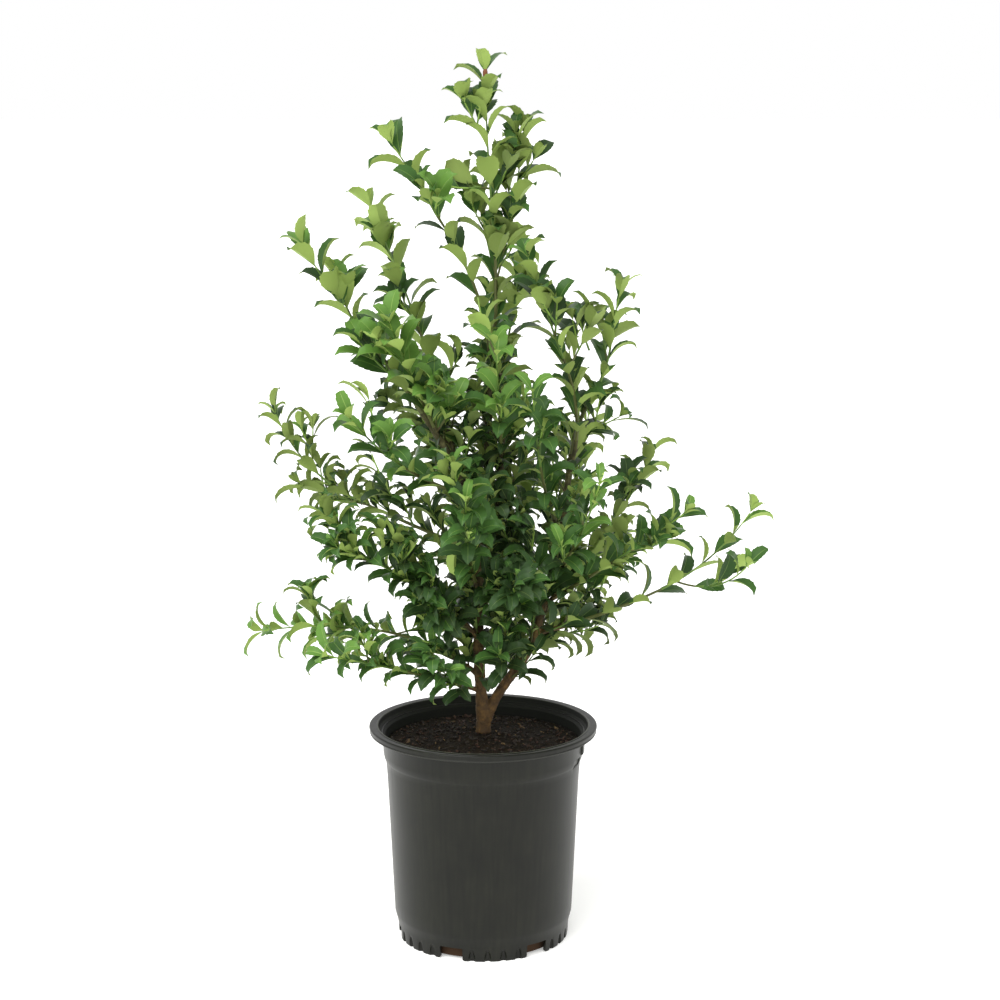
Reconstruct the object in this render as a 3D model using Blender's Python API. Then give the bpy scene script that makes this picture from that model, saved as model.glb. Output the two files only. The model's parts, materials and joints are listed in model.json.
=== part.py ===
"""A young holly shrub in a black nursery pot.

The shrub has a short trunk that forks into two main stems. An old middle stem was cut off, and a slim
leader grew past it. Boughs leave these stems, and each ends in a mass of foliage: one stem that carries
on from the bough's tip, its side twigs and its leaves.

Metres, +Z up. The origin is the middle of the pot's flat underside. A bearing is measured in degrees from
+X towards +Y, and a rise is measured in degrees up from level.
"""

import math
import random

import bmesh
import bpy
import numpy as np
from mathutils import Vector

# Gaps and seeds
GAP = 0.0003  # between pieces that touch
SEED = 9
GOLDEN_ANGLE = 137.5

# Pot: a moulded nursery pot, 229 mm across its lip
POT_HEIGHT = 0.2205
LIP_RADIUS = 0.1148
LIP_DROP = 0.0120
MOUTH_RADIUS = 0.1055
BAND_RADIUS = 0.0992
BAND_FOOT = 0.1700
BODY_TOP_RADIUS = 0.0948
BODY_FOOT_RADIUS = 0.0886
BODY_FOOT = 0.0190
SKIRT_RADIUS = 0.0856
SKIRT_HEIGHT = 0.0100
SKIRT_WALL = 0.0035
WALL = 0.0022
FLOOR = 0.0030
PAD_RADIUS = 0.0200
FOOT_COUNT = 6
FOOT_BEARING = 278.5
FOOT_GAP_DEGREES = 16.0
POT_SIDES = 40

# Soil: a shallow mound round the trunk, as (share of its radius, share of its rise) from its edge inwards
SOIL_TOP = 0.2115
SOIL_EDGE = 0.2015
MOUND_TOP_RADIUS = 0.0160
MOUND = ((1.00, 0.00), (0.70, 0.20), (0.42, 0.62))

# Wood
TRUNK_FLARE = 1.55
FLARE_SHARE = 0.45
PRUNED_TIP_SHARE = 0.72
TRUNK_SIDES = 9
LIMB_SIDES = 6
RING_SPACING = 0.022
TRUNK_RINGS = 6
PATH_STEPS = 48
LIMB_TIP_RADIUS = 0.0013
TWIG_RADIUS = 0.0012
TWIG_TIP_RADIUS = 0.0007
TWIG_SIDES = 3
TWIG_RING_SPACING = 0.033
TWIG_ROOT_STEPS = 4

# Leaves, a little larger than life
LEAF_LENGTH = 0.046
LEAF_WIDTH = 0.029
LEAF_THICK = 0.0014
LEAF_WIDEST = 0.58
LEAF_ARCH = 74.0
LEAF_LIFT = 0.22
FACE_LIFT = 0.30
LEAF_SPACING = 0.0160
LEAF_CLEAR = 0.0006
LEAF_SPREAD = (42.0, 58.0)  # degrees from the twig
LEAF_SIZES = (0.88, 1.08)
LEAF_TRIES = ((1.0, 0), (0.85, 50), (0.85, -50), (0.72, 110), (0.72, 0), (0.60, -110))  # size, further turn
BARE_FOOT_OF_STEM = 0.03
BARE_FOOT_OF_TWIG = 0.22
LAST_LEAF_PLACE = 0.985

# Side twigs
SIDE_TWIG_SPACING = 0.056
SIDE_TWIG_SPREAD = 48.0
SIDE_TWIG_SHORTEST = 0.020
SIDE_TWIG_SHARE = 0.34
SIDE_TWIG_LIFT = 0.45

# Every limb: name, parent, place along the parent, length, share that is bare, radius at its foot,
# and its headings (bearing, rise) from foot to tip. A bare share of 1 is a limb with no foliage.
LIMBS = (
    ("trunk", None, 0.00, 0.026, 1.00, 0.0082, ((0, 86), (0, 86))),
    ("left", "trunk", 1.00, 0.520, 0.62, 0.0066, ((217, 77), (309, 81), (196, 61), (193, 52), (196, 59))),
    ("right", "trunk", 0.96, 0.445, 0.62, 0.0060, ((7, 47), (16, 71), (39, 82), (14, 68), (31, 80))),
    ("pruned", "left", 0.21, 0.240, 1.00, 0.0042, ((19, 73), (54, 83), (123, 83))),
    ("leader", "pruned", 0.35, 0.452, 0.36, 0.0030, ((176, 79), (6, 83), (172, 85), (136, 89))),
    ("inner_left", "leader", 0.31, 0.270, 0.16, 0.0020, ((300, 80), (192, 62), (190, 55))),
    ("high_left", "left", 0.50, 0.290, 0.14, 0.0022, ((115, 63), (129, 59), (135, 56))),
    ("inner_right", "right", 0.58, 0.250, 0.16, 0.0022, ((300, 60), (221, 64), (226, 65))),
    ("right_mid", "right", 0.25, 0.215, 0.16, 0.0024, ((40, 47), (33, 40), (49, 57))),
    ("front_centre", "right", 0.44, 0.220, 0.13, 0.0022, ((244, 48), (260, 51), (266, 49))),
    ("right_low", "right", 0.28, 0.190, 0.13, 0.0022, ((330, 32), (335, 38))),
    ("right_long", "right", 0.21, 0.260, 0.13, 0.0025, ((3, 13), (3, 25), (5, 58))),
    ("front_left", "left", 0.44, 0.185, 0.16, 0.0021, ((219, 18), (234, 44))),
    ("left_mid", "left", 0.33, 0.275, 0.13, 0.0025, ((157, 16), (158, 20), (137, 60))),
    ("left_low", "left", 0.15, 0.210, 0.13, 0.0023, ((223, 45), (216, 22))),
    ("left_bottom", "left", 0.065, 0.235, 0.13, 0.0024, ((188, 42), (186, 10), (186, -9))),
    ("front_bottom", "left", 0.035, 0.190, 0.14, 0.0022, ((214, 22), (213, 16))),
    ("front_low", "left", 0.26, 0.200, 0.13, 0.0022, ((262, 28), (272, 46))),
    ("front_right", "right", 0.33, 0.195, 0.13, 0.0022, ((292, 34), (284, 50))),
    ("front_mid", "pruned", 0.62, 0.175, 0.13, 0.0020, ((270, 44), (262, 60))),
    ("front_young", "right", 0.10, 0.150, 0.15, 0.0018, ((262, 44), (256, 66))),
    ("back_low", "left", 0.19, 0.225, 0.13, 0.0023, ((102, 22), (96, 44))),
    ("back_right", "right", 0.38, 0.215, 0.13, 0.0023, ((74, 30), (78, 50))),
    ("back_mid", "pruned", 0.48, 0.200, 0.13, 0.0021, ((88, 44), (96, 62))),
    ("back_left", "left", 0.40, 0.190, 0.13, 0.0021, ((128, 34), (112, 56))),
    ("back_bottom", "right", 0.15, 0.200, 0.13, 0.0021, ((55, 14), (62, 34))),
    ("back_top", "leader", 0.22, 0.195, 0.14, 0.0019, ((62, 58), (74, 68))),
    ("front_inner", "right", 0.31, 0.160, 0.14, 0.0019, ((222, 44), (246, 64))),
    ("front_high", "left", 0.56, 0.170, 0.14, 0.0019, ((252, 40), (238, 58))),
)

# Forks: strong side shoots inside a mass, in the same form
FORKS = (
    ("leader", 0.54, 0.155, ((38, 70), (70, 77))),
    ("right_long", 0.58, 0.095, ((323, -11), (314, 47))),
    ("left_mid", 0.46, 0.080, ((155, 7), (154, 15))),
    ("right", 0.66, 0.050, ((345, 20), (350, 30))),
)

# The upright stems, whose nodes are named for that. The other limbs are boughs.
STEMS = ("left", "right", "pruned", "leader")


# Materials

def make_material(name, colour, roughness):
    """A Principled material in one linear RGB colour."""
    material = bpy.data.materials.new(name)
    material.use_nodes = True
    shader = material.node_tree.nodes["Principled BSDF"]
    shader.inputs["Base Color"].default_value = (*colour, 1.0)
    shader.inputs["Roughness"].default_value = roughness
    shader.inputs["Metallic"].default_value = 0.0
    return material


def clear_scene():
    for thing in list(bpy.data.objects):
        bpy.data.objects.remove(thing, do_unlink=True)


def add_object(name, mesh, material):
    made = bpy.data.objects.new(name, mesh)
    bpy.context.scene.collection.objects.link(made)
    mesh.materials.append(material)
    return made


def mesh_from(name, points, faces):
    """A closed mesh with its faces turned outwards."""
    form = bmesh.new()
    corners = [form.verts.new(point) for point in points]
    for face in faces:
        form.faces.new([corners[i] for i in face])
    bmesh.ops.recalc_face_normals(form, faces=form.faces)
    mesh = bpy.data.meshes.new(name)
    form.to_mesh(mesh)
    form.free()
    return mesh


# Turned pieces: the pot and its soil

def turned_mesh(name, profile, sides):
    """A solid turned round Z from (radius, height) points, which start and end on the axis or form a loop."""
    form = bmesh.new()
    corners = [form.verts.new((radius, 0.0, height)) for radius, height in profile]
    edges = [form.edges.new(pair) for pair in zip(corners, corners[1:])]
    bmesh.ops.spin(form, geom=corners + edges, cent=(0, 0, 0), axis=(0, 0, 1), angle=2 * math.pi,
                   steps=sides, use_merge=True)
    bmesh.ops.remove_doubles(form, verts=form.verts, dist=1e-6)
    bmesh.ops.recalc_face_normals(form, faces=form.faces)
    mesh = bpy.data.meshes.new(name)
    form.to_mesh(mesh)
    form.free()
    mesh.shade_smooth()
    mesh.set_sharp_from_angle(angle=math.radians(30))
    return mesh


def inner_wall():
    """(radius, height) points up the pot's inside, from the edge of its floor to its mouth."""
    return (
        (BODY_FOOT_RADIUS - 2 * WALL, SKIRT_HEIGHT + FLOOR),
        (BODY_FOOT_RADIUS - WALL, BODY_FOOT + FLOOR),
        (BODY_TOP_RADIUS - WALL, BAND_FOOT - FLOOR),
        (BAND_RADIUS - WALL, BAND_FOOT + FLOOR),
        (BAND_RADIUS, POT_HEIGHT - LIP_DROP),
        (MOUTH_RADIUS, POT_HEIGHT - WALL / 2),
    )


def add_foot_gap_cutters():
    """Boxes that part the skirt under the pot into its feet."""
    pitch = 360.0 / FOOT_COUNT
    width = 2 * SKIRT_RADIUS * math.sin(math.radians(FOOT_GAP_DEGREES / 2))
    cutters = []
    for number in range(FOOT_COUNT):
        turn = math.radians(FOOT_BEARING + (number + 0.5) * pitch)
        bpy.ops.mesh.primitive_cube_add(size=1)
        cutter = bpy.context.object
        cutter.dimensions = (6 * SKIRT_WALL, width, 2 * SKIRT_HEIGHT - FLOOR)
        cutter.location = (SKIRT_RADIUS * math.cos(turn), SKIRT_RADIUS * math.sin(turn), 0)
        cutter.rotation_euler = (0, 0, turn)
        cutters.append(cutter)
    return cutters


def make_pot(material):
    profile = [
        (0.0, 0.0),
        (PAD_RADIUS, 0.0),
        (PAD_RADIUS, SKIRT_HEIGHT),
        (SKIRT_RADIUS - SKIRT_WALL, SKIRT_HEIGHT),
        (SKIRT_RADIUS - SKIRT_WALL, 0.0),
        (SKIRT_RADIUS, 0.0),
        (SKIRT_RADIUS + 0.0010, SKIRT_HEIGHT),
        (BODY_FOOT_RADIUS, BODY_FOOT),
        (BODY_TOP_RADIUS, BAND_FOOT - FLOOR),
        (BAND_RADIUS, BAND_FOOT + FLOOR),
        (BAND_RADIUS + 0.0008, POT_HEIGHT - LIP_DROP),
        (LIP_RADIUS, POT_HEIGHT - LIP_DROP),
        (LIP_RADIUS, POT_HEIGHT - 0.0030),
        (LIP_RADIUS - 0.0020, POT_HEIGHT),
        (MOUTH_RADIUS + 0.0020, POT_HEIGHT),
    ]
    profile += reversed(inner_wall())
    profile.append((0.0, SKIRT_HEIGHT + FLOOR))
    pot = add_object("pot", turned_mesh("pot", profile, POT_SIDES), material)
    join_by_boolean(pot, add_foot_gap_cutters(), "DIFFERENCE")


def make_soil(material):
    underside = SKIRT_HEIGHT + FLOOR + GAP
    inside = [(radius - GAP, max(height, underside)) for radius, height in inner_wall() if height < SOIL_EDGE]
    up_band = (SOIL_EDGE - BAND_FOOT - FLOOR) / (POT_HEIGHT - LIP_DROP - BAND_FOOT - FLOOR)
    edge = BAND_RADIUS - WALL + up_band * WALL - GAP
    mound = [(edge * out, SOIL_EDGE + (SOIL_TOP - SOIL_EDGE) * up) for out, up in MOUND]
    profile = [(0.0, underside)] + inside + mound + [(MOUND_TOP_RADIUS, SOIL_TOP), (0.0, SOIL_TOP)]
    add_object("soil", turned_mesh("soil", profile, POT_SIDES), material)


# Booleans

def join_by_boolean(target, others, operation):
    """Applies one Boolean of a collection of objects to the target, and removes those objects."""
    group = bpy.data.collections.new("group")
    for other in others:
        group.objects.link(other)
    modifier = target.modifiers.new("join", "BOOLEAN")
    modifier.operation = operation
    modifier.operand_type = "COLLECTION"
    modifier.collection = group
    modifier.solver = "EXACT"
    bpy.context.view_layer.update()
    graph = bpy.context.evaluated_depsgraph_get()
    joined = bpy.data.meshes.new_from_object(target.evaluated_get(graph))
    target.modifiers.clear()
    old = target.data
    target.data = joined
    bpy.data.meshes.remove(old)
    for other in others:
        mesh = other.data
        bpy.data.objects.remove(other, do_unlink=True)
        bpy.data.meshes.remove(mesh)
    bpy.data.collections.remove(group)


def keep_largest_shell(mesh):
    """Drops loose scraps, and fills sealed hollows by dropping their walls."""
    form = bmesh.new()
    form.from_mesh(mesh)
    unseen = set(form.verts)
    shells = []
    while unseen:
        shell = set()
        edge_of_search = [unseen.pop()]
        while edge_of_search:
            corner = edge_of_search.pop()
            shell.add(corner)
            for edge in corner.link_edges:
                other = edge.other_vert(corner)
                if other in unseen:
                    unseen.remove(other)
                    edge_of_search.append(other)
        shells.append(shell)
    largest = max(shells, key=len)
    loose = [corner for shell in shells if shell is not largest for corner in shell]
    bmesh.ops.delete(form, geom=loose, context="VERTS")
    form.to_mesh(mesh)
    form.free()


# Limbs

def heading_vector(bearing, rise):
    bearing, rise = math.radians(bearing), math.radians(rise)
    return np.array((math.cos(rise) * math.cos(bearing), math.cos(rise) * math.sin(bearing), math.sin(rise)))


def grow_path(foot, headings, length):
    """Points from the foot to the tip of a shoot that turns evenly from each heading to the next."""
    vectors = [heading_vector(*heading) for heading in headings]
    points = [np.array(foot, float)]
    for step in range(PATH_STEPS):
        place = (step + 0.5) / PATH_STEPS * (len(vectors) - 1)
        index = min(int(place), len(vectors) - 2)
        blend = place - index
        direction = vectors[index] * (1 - blend) + vectors[index + 1] * blend
        direction /= np.linalg.norm(direction)
        points.append(points[-1] + direction * length / PATH_STEPS)
    return np.array(points)


def point_at(path, share):
    place = share * (len(path) - 1)
    index = min(int(place), len(path) - 2)
    return path[index] + (path[index + 1] - path[index]) * (place - index)


def direction_at(path, share):
    index = min(int(share * (len(path) - 1)), len(path) - 2)
    direction = path[index + 1] - path[index]
    return direction / np.linalg.norm(direction)


def tube_mesh(name, points, radii, sides, level_foot=False):
    """A closed tube of flat-sided rings about the points, the first of them level if asked."""
    points = [Vector(point) for point in points]
    ahead = [(b - a).normalized() for a, b in zip(points, points[1:])]
    ahead.append(ahead[-1])
    if level_foot:
        ahead[0] = Vector((0, 0, 1))
    across = ahead[0].orthogonal().normalized()
    corners = []
    for point, direction, radius in zip(points, ahead, radii):
        across = (across - direction * across.dot(direction)).normalized()
        up = direction.cross(across)
        for side in range(sides):
            turn = 2 * math.pi * side / sides
            corners.append(point + (math.cos(turn) * across + math.sin(turn) * up) * float(radius))
    faces = []
    for ring in range(len(points) - 1):
        for side in range(sides):
            following = (side + 1) % sides
            near, far = ring * sides, (ring + 1) * sides
            faces.append((near + side, near + following, far + following, far + side))
    faces.append(tuple(range(sides)))
    faces.append(tuple(range(len(corners) - sides, len(corners))))
    return mesh_from(name, corners, faces)


def stretch_of(path, radius_at, start, end, spacing):
    """Points and radii along part of a path, about a spacing apart."""
    span = float(np.linalg.norm(np.diff(path, axis=0), axis=1).sum()) * (end - start)
    count = max(2, round(span / spacing) + 1)
    shares = np.linspace(start, end, count)
    return [point_at(path, share) for share in shares], [radius_at(share) for share in shares]


class Limb:
    """One limb and, past its bare share, the stem of its mass of foliage."""

    def __init__(self, row, limbs):
        self.name, parent, place, self.length, self.bare, self.foot_radius, headings = row
        self.parent = limbs.get(parent)
        foot = (0, 0, SOIL_TOP + GAP) if parent is None else point_at(self.parent.path, place)
        self.path = grow_path(foot, headings, self.length)
        self.leafy_path = self.path[round(self.bare * PATH_STEPS):]
        self.leafy_length = self.length * (1 - self.bare)

    def radius(self, share):
        """The limb tapers evenly to its tip, and the trunk flares at its foot."""
        if self.name == "trunk":
            return self.foot_radius * (1 + (TRUNK_FLARE - 1) * max(0.0, 1 - share / FLARE_SHARE) ** 2)
        tip = self.foot_radius * PRUNED_TIP_SHARE if self.name == "pruned" else LIMB_TIP_RADIUS
        return self.foot_radius + (tip - self.foot_radius) * share

    def add_wood(self, name, material, extra=0.0):
        """The limb's bare wood, or a cutter that is larger all round by the extra."""
        sides = TRUNK_SIDES if self.name in ("trunk", "left", "right") else LIMB_SIDES
        spacing = self.length / TRUNK_RINGS if self.name == "trunk" else RING_SPACING
        points, radii = stretch_of(self.path, self.radius, 0.0, self.bare, spacing)
        radii = [radius + extra for radius in radii]
        points[0] = points[0] - direction_at(self.path, 0.0) * extra
        points[-1] = points[-1] + direction_at(self.path, self.bare) * extra
        return add_object(name, tube_mesh(name, points, radii, sides, self.parent is None), material)


def node_name(limb):
    if limb.name == "trunk":
        return "trunk"
    return ("stem_" if limb.name in STEMS else "bough_") + limb.name


def make_wood(limbs, material):
    """Each limb in its own node, cut clear of those that it grows from or passes."""
    made = []
    for limb in limbs.values():
        wood = limb.add_wood(node_name(limb), material)
        cutters = [other.add_wood("cutter", material, GAP) for other in made if touches(limb, other)]
        if cutters:
            join_by_boolean(wood, cutters, "DIFFERENCE")
            keep_largest_shell(wood.data)
        made.append(limb)


def touches(limb, other):
    """Whether the wood of two limbs comes within a gap of each other."""
    reach = limb.foot_radius + other.foot_radius * (TRUNK_FLARE if other.name == "trunk" else 1) + 2 * GAP
    one = limb.path[: round(limb.bare * PATH_STEPS) + 1]
    two = other.path[: round(other.bare * PATH_STEPS) + 1]
    return np.linalg.norm(one[:, None] - two[None], axis=2).min() < reach + limb.length / PATH_STEPS


# Foliage

def leaf_points(root, direction, face, size):
    """The five corners of a leaf that arches over: its root, tip, left and right edge, and lower middle."""
    length, width = LEAF_LENGTH * size, LEAF_WIDTH * size
    bend = math.radians(LEAF_ARCH)

    def along(share):
        turn = bend * share
        return root + length / bend * (math.sin(turn) * direction - (1 - math.cos(turn)) * face)

    middle = along(LEAF_WIDEST)
    turn = bend * LEAF_WIDEST
    above = math.cos(turn) * face + math.sin(turn) * direction
    aside = np.cross(direction, face) * width / 2
    return np.array((root, along(1.0), middle + aside, middle - aside, middle - above * LEAF_THICK))


LEAF_FACES = ((0, 2, 3), (1, 3, 2), (0, 4, 2), (2, 4, 1), (1, 4, 3), (3, 4, 0))


def side_vectors(direction):
    """Two vectors square to a direction, the first as level as can be."""
    level = np.cross(direction, (0, 0, 1))
    if np.linalg.norm(level) < 0.05:
        level = np.array((1.0, 0.0, 0.0))
    level /= np.linalg.norm(level)
    return level, np.cross(level, direction)


def leaf_frame(direction, turn, spread):
    """Which way a leaf points and which way its upper side faces, for a turn about its twig."""
    level, over = side_vectors(direction)
    out = math.cos(turn) * level + math.sin(turn) * over
    points_to = math.cos(spread) * direction + math.sin(spread) * out + np.array((0, 0, LEAF_LIFT))
    points_to /= np.linalg.norm(points_to)
    face = math.sin(spread) * direction - math.cos(spread) * out + np.array((0, 0, FACE_LIFT))
    face -= points_to * face.dot(points_to)
    return points_to, face / np.linalg.norm(face)


class Space:
    """Which points belong to which mass: each belongs to the mass whose stem is nearest."""

    def __init__(self, limbs, forks):
        self.stems = {}
        for limb in limbs.values():
            if limb.bare < 1:
                own_forks = [path for path, _ in forks.get(limb.name, ())]
                self.stems[limb.name] = np.vstack([limb.leafy_path] + own_forks)
        wood = [(limb, share) for limb in limbs.values() for share in np.linspace(0, limb.bare, PATH_STEPS)]
        self.wood = np.array([point_at(limb.path, share) for limb, share in wood])
        self.wood_radii = np.array([limb.radius(share) for limb, share in wood])

    def holds(self, name, points):
        """Whether every point is in the mass's own space, clear of the wood and of the pot."""
        own = np.linalg.norm(points[:, None] - self.stems[name][None], axis=2).min(axis=1)
        for other, stem in self.stems.items():
            if other != name:
                away = np.linalg.norm(points[:, None] - stem[None], axis=2).min(axis=1)
                if (away < own + 2 * LEAF_CLEAR).any():
                    return False
        clear = np.linalg.norm(points[:, None] - self.wood[None], axis=2) - self.wood_radii
        above_pot = points[:, 2] > POT_HEIGHT + LEAF_CLEAR
        inside_mouth = np.hypot(points[:, 0], points[:, 1]) < BAND_RADIUS - 4 * LEAF_CLEAR
        above_soil = points[:, 2] > SOIL_TOP + 4 * LEAF_CLEAR
        return clear.min() > 2 * LEAF_CLEAR and (above_pot | (inside_mouth & above_soil)).all()


def side_twigs(path, length, chance):
    """The short twigs off a stem: (path, length) of each, turned round the stem by the golden angle."""
    twigs = []
    count = int(length / SIDE_TWIG_SPACING)
    turn = chance.uniform(0, 360)
    for number in range(count):
        share = (number + 0.45) / (count + 0.6)
        turn += GOLDEN_ANGLE
        out, _ = leaf_frame(direction_at(path, share), math.radians(turn), math.radians(SIDE_TWIG_SPREAD))
        reach = SIDE_TWIG_SHARE * length * (1 - share) * chance.uniform(0.6, 1.0)
        headings = [heading_of(out), heading_of(out + np.array((0, 0, SIDE_TWIG_LIFT)))]
        twig_length = SIDE_TWIG_SHORTEST + reach
        twigs.append((grow_path(point_at(path, share), headings, twig_length), twig_length))
    return twigs


def heading_of(vector):
    vector = vector / np.linalg.norm(vector)
    return math.degrees(math.atan2(vector[1], vector[0])), math.degrees(math.asin(vector[2]))


def leaves_along(path, length, start, fits, chance):
    """Corners of the leaves up one twig. One that doesn't fit is tried smaller and turned, then left out."""
    leaves = []
    count = max(2, int(length * (1 - start) / LEAF_SPACING))
    turn = chance.uniform(0, 360)
    for number in range(count + 1):
        share = start + (1 - start) * number / count
        turn += GOLDEN_ANGLE
        spread = math.radians(chance.uniform(*LEAF_SPREAD))
        size = chance.uniform(*LEAF_SIZES)
        root = point_at(path, min(share, LAST_LEAF_PLACE))
        for smaller, further in LEAF_TRIES:
            points_to, face = leaf_frame(direction_at(path, share), math.radians(turn + further), spread)
            corners = leaf_points(root, points_to, face, size * smaller)
            if fits(corners):
                leaves.append(corners)
                break
    return leaves


def edge_middles(corners):
    """The leaf's corners with points between them, for testing where it lies."""
    between = [(corners[a] + corners[b]) / 2 for a, b in ((0, 2), (0, 3), (1, 2), (1, 3))]
    return np.vstack([corners[1:], between])


def make_mass(limb, forks, space, material, chance):
    """One mass of foliage, joined into one solid: the stem past the bough's tip, its twigs and leaves."""
    def stem_radius(share):
        return TWIG_TIP_RADIUS if share == 1.0 else max(limb.radius(share), TWIG_RADIUS)

    def twig_radius(share):
        return TWIG_RADIUS + (TWIG_TIP_RADIUS - TWIG_RADIUS) * share

    def fits(corners):
        return space.holds(limb.name, edge_middles(corners))

    name = "foliage_" + limb.name
    start = limb.bare + GAP / limb.length
    points, radii = stretch_of(limb.path, stem_radius, start, 1.0, TWIG_RING_SPACING)
    mass = add_object(name, tube_mesh(name, points, radii, TWIG_SIDES), material)
    leaves = leaves_along(limb.leafy_path, limb.leafy_length, BARE_FOOT_OF_STEM, fits, chance)
    pieces = []
    for path, length in forks + side_twigs(limb.leafy_path, limb.leafy_length, chance):
        if space.holds(limb.name, path[TWIG_ROOT_STEPS:]):
            points, radii = stretch_of(path, twig_radius, 0.0, 1.0, TWIG_RING_SPACING)
            pieces.append(add_object("twig", tube_mesh("twig", points, radii, TWIG_SIDES), material))
            leaves += leaves_along(path, length, BARE_FOOT_OF_TWIG, fits, chance)
    pieces += [add_object("leaf", mesh_from("leaf", corners, LEAF_FACES), material) for corners in leaves]
    join_by_boolean(mass, pieces, "UNION")
    keep_largest_shell(mass.data)


def make_plant(bark, leaf):
    limbs = {}
    for row in LIMBS:
        limbs[row[0]] = Limb(row, limbs)
    forks = {}
    for name, place, length, headings in FORKS:
        path = grow_path(point_at(limbs[name].path, place), headings, length)
        forks.setdefault(name, []).append((path, length))
    make_wood(limbs, bark)
    space = Space(limbs, forks)
    for number, limb in enumerate(limbs.values()):
        if limb.bare < 1:
            make_mass(limb, forks.get(limb.name, []), space, leaf, random.Random(SEED + number))


clear_scene()
make_pot(make_material("black_polythene", (0.048, 0.051, 0.046), 0.45))
make_soil(make_material("potting_soil", (0.027, 0.013, 0.007), 0.95))
make_plant(
    make_material("holly_bark", (0.190, 0.107, 0.045), 0.85),
    make_material("holly_leaf", (0.062, 0.170, 0.026), 0.38),
)
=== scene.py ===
"""The looks of a young holly shrub in a black nursery pot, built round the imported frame.

Metres, +Z up. The origin is the middle of the pot's flat underside. A bearing is measured in degrees from
+X towards +Y, and a rise is measured in degrees up from level.
"""

import functools
import json
import math
import random

import bmesh
import bpy
import numpy as np
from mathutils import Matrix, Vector

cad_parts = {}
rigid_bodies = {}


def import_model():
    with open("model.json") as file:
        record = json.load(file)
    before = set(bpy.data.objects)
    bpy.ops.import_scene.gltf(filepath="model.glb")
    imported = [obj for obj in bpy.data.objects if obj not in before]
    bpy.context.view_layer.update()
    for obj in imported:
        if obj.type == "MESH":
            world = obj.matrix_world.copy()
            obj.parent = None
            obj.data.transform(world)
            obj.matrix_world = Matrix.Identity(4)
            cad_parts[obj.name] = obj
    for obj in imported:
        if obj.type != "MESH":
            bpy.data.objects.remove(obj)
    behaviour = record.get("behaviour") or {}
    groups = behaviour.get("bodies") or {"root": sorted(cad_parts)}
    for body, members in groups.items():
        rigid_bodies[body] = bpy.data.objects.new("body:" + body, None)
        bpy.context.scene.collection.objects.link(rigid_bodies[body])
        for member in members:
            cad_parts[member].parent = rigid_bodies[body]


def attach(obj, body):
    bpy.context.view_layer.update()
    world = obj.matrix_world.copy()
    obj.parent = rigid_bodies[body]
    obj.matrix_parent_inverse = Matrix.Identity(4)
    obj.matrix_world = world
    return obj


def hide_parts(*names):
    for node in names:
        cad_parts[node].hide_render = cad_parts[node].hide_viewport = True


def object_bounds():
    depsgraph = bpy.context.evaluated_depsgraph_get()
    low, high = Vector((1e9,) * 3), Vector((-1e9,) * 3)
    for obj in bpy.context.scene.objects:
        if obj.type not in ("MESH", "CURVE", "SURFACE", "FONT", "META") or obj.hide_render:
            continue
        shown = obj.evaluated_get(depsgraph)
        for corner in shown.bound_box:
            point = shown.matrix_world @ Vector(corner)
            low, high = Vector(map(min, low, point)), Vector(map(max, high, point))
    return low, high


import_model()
cad_low, cad_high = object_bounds()
bpy.ops.object.select_all(action="DESELECT")

# Camera
# The photo was taken from the front with a long lens, from about the height of the plant's top and tilted
# down by a little over ten degrees.
CAMERA_PLACE = (0.017, -2.300, 0.884)
CAMERA_TILT = 10.7
CAMERA_LENS = 85.1

bpy.ops.object.camera_add(location=CAMERA_PLACE, rotation=(math.radians(90 - CAMERA_TILT), 0, 0))
camera = bpy.context.object
camera.data.lens = CAMERA_LENS
bpy.context.scene.camera = camera
bpy.context.scene.view_settings.view_transform = "Standard"

# Floor and light
# A plain white floor lit a little from within, as a light table is, that runs out to the white surround.
# Broad soft light comes from above and to the left of the camera, as from a large diffuser, and a little
# comes from the right.
FLOOR_SIZE = 60.0
FLOOR_COLOUR = "F6F6F4"
FLOOR_GLOW = 0.38
LIGHTS = (  # name, the bearing and rise that it comes from, strength, and spread in degrees
    ("light_left", 236, 52, 2.8, 50),
    ("light_right", 310, 30, 0.35, 50),
)
HORIZON_STRENGTH = 1.0
ZENITH_STRENGTH = 0.50
FADE_FROM = 0.25  # sine of the rise from which the surround dims towards the zenith


def linear(code):
    """An sRGB hex colour as the linear RGBA that nodes take."""
    shares = [int(code[place:place + 2], 16) / 255 for place in (0, 2, 4)]
    return tuple(s / 12.92 if s <= 0.04045 else ((s + 0.055) / 1.055) ** 2.4 for s in shares) + (1.0,)


def fill_sockets(material, filled, values):
    """Sets a node's inputs, by name or number, to values or links them to other nodes' outputs."""
    for name, value in values.items():
        socket = filled.inputs[name if isinstance(name, int) else name.replace("_", " ")]
        if isinstance(value, bpy.types.NodeSocket):
            material.node_tree.links.new(value, socket)
        else:
            socket.default_value = value


def node(material, kind, settings=(), stops=(), numbered=(), **values):
    """Adds one node. Settings are its own, stops are a ramp's with its two ends first, and values go to its
    inputs, numbered ones to the first, second and so on."""
    made = material.node_tree.nodes.new("ShaderNode" + kind)
    for name, value in dict(settings).items():
        setattr(made, name, value)
    for number, (place, code) in enumerate(stops):
        stop = made.color_ramp.elements[number] if number < 2 else made.color_ramp.elements.new(place)
        stop.position = place
        stop.color = linear(code)
    fill_sockets(material, made, dict(enumerate(numbered)) | values)
    return made


def set_finish(material, **values):
    """Sets or links the inputs of a material's Principled shader."""
    fill_sockets(material, material.node_tree.nodes["Principled BSDF"], values)


def new_material(name, **values):
    """A material with the values that are the same all over it."""
    material = bpy.data.materials.new(name)
    material.use_nodes = True
    set_finish(material, **values)
    return material


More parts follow.
